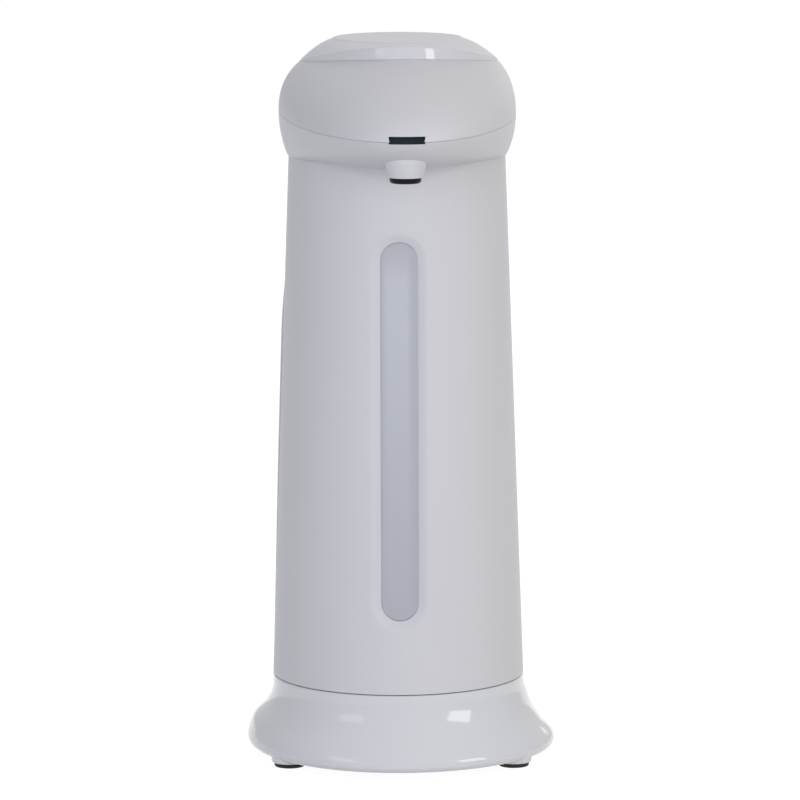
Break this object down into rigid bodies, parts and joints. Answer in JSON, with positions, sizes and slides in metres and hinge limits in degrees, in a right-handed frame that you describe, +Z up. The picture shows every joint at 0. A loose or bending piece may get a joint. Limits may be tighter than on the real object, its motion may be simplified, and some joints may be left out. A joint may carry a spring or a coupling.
{
  "type": "automatic soap dispenser",
  "caption": "Countertop touch-free soap dispenser: round tapered column on a flared stand, beaked head with hinged refill lid, sensor window and downward nozzle.",
  "frame": {"origin": "centre of the object's bounding box at its base, on the surface that it stands on", "axes": "+Z up; -Y to the front, towards the nozzle and the sensor; +X to the right of someone who looks along +Y at the front"},
  "size_m": [0.1106, 0.1419, 0.26],
  "materials": {
    "satin_white": "satin moulded plastic",
    "gloss_white": "polished moulded plastic",
    "smoked_black": "polished, dark",
    "black_rubber": "matt",
    "frosted_clear": "frosted, translucent",
    "inner_white": "plain moulded plastic",
    "grey_nylon": "plain moulded nylon",
    "soft_silicone": "soft, translucent",
    "bright_steel": "bright plated",
    "cell_jacket": "printed film jacket, plain",
    "circuit_green": "lacquered board"
  },
  "bodies": {
    "housing": {"stand_base": "gloss_white", "foot_pad_front_left": "black_rubber", "foot_pad_front_right": "black_rubber", "foot_pad_rear_left": "black_rubber", "foot_pad_rear_right": "black_rubber", "base_screw_1": "bright_steel", "base_screw_2": "bright_steel", "base_screw_3": "bright_steel", "column_shell": "satin_white", "level_window": "frosted_clear", "battery_tray": "inner_white", "battery_1": "cell_jacket", "battery_2": "cell_jacket", "battery_3": "cell_jacket", "battery_4": "cell_jacket", "battery_spring_1": "bright_steel", "battery_spring_2": "bright_steel", "battery_contact_plate": "bright_steel", "soap_tank": "frosted_clear", "neck_seal": "soft_silicone", "filler_funnel": "inner_white", "inlet_sleeve": "soft_silicone", "pump_housing": "grey_nylon", "pump_cover": "grey_nylon", "idler_shaft": "bright_steel", "pump_motor": "bright_steel", "pump_bracket": "grey_nylon", "soap_tube": "soft_silicone", "head_lower_shell": "satin_white", "head_cover": "satin_white", "head_screw_left": "bright_steel", "head_screw_right": "bright_steel", "lid_hinge_pin": "bright_steel", "nozzle_shroud": "satin_white", "nozzle_tip": "smoked_black", "sensor_window": "smoked_black", "infrared_emitter": "soft_silicone", "infrared_receiver": "smoked_black", "sensor_board": "circuit_green", "control_board": "circuit_green", "power_switch": "smoked_black"},
    "lid": {"refill_lid": "satin_white", "lid_seal": "soft_silicone"},
    "battery_door": {"battery_cover": "satin_white"},
    "button": {"power_button": "satin_white"},
    "drive_train": {"pump_drive_gear": "grey_nylon", "reduction_wheel": "grey_nylon", "drive_shaft": "bright_steel"},
    "idler": {"pump_idler_gear": "grey_nylon"},
    "motor_rotor": {"motor_pinion": "grey_nylon", "motor_shaft": "bright_steel"}
  },
  "joints": [
    {"name": "lid_hinge", "type": "hinge", "parent": "housing", "child": "lid", "pos_m": [0, 0.05275, 0.2525], "axis": [-1, 0, 0], "range_deg": [0, 100]},
    {"name": "battery_cover_slide", "type": "slide", "parent": "housing", "child": "battery_door", "axis": [0, 1, 0], "range_m": [0, 0.06]},
    {"name": "power_button_press", "type": "slide", "parent": "housing", "child": "button", "axis": [0, -1, 0], "range_m": [0, 0.001], "stiffness_N_per_m": 400},
    {"name": "drive_spin", "type": "hinge", "parent": "housing", "child": "drive_train", "pos_m": [0, 0.00585, 0.047], "axis": [1, 0, 0], "continuous": true},
    {"name": "idler_spin", "type": "hinge", "parent": "housing", "child": "idler", "pos_m": [0, -0.00615, 0.047], "axis": [1, 0, 0], "continuous": true},
    {"name": "motor_spin", "type": "hinge", "parent": "housing", "child": "motor_rotor", "pos_m": [0, 0.01785, 0.047], "axis": [1, 0, 0], "continuous": true}
  ],
  "couplings": [
    {"joint": "idler_spin", "follows": "drive_spin", "ratio": -1},
    {"joint": "motor_spin", "follows": "drive_spin", "ratio": -3}
  ]
}
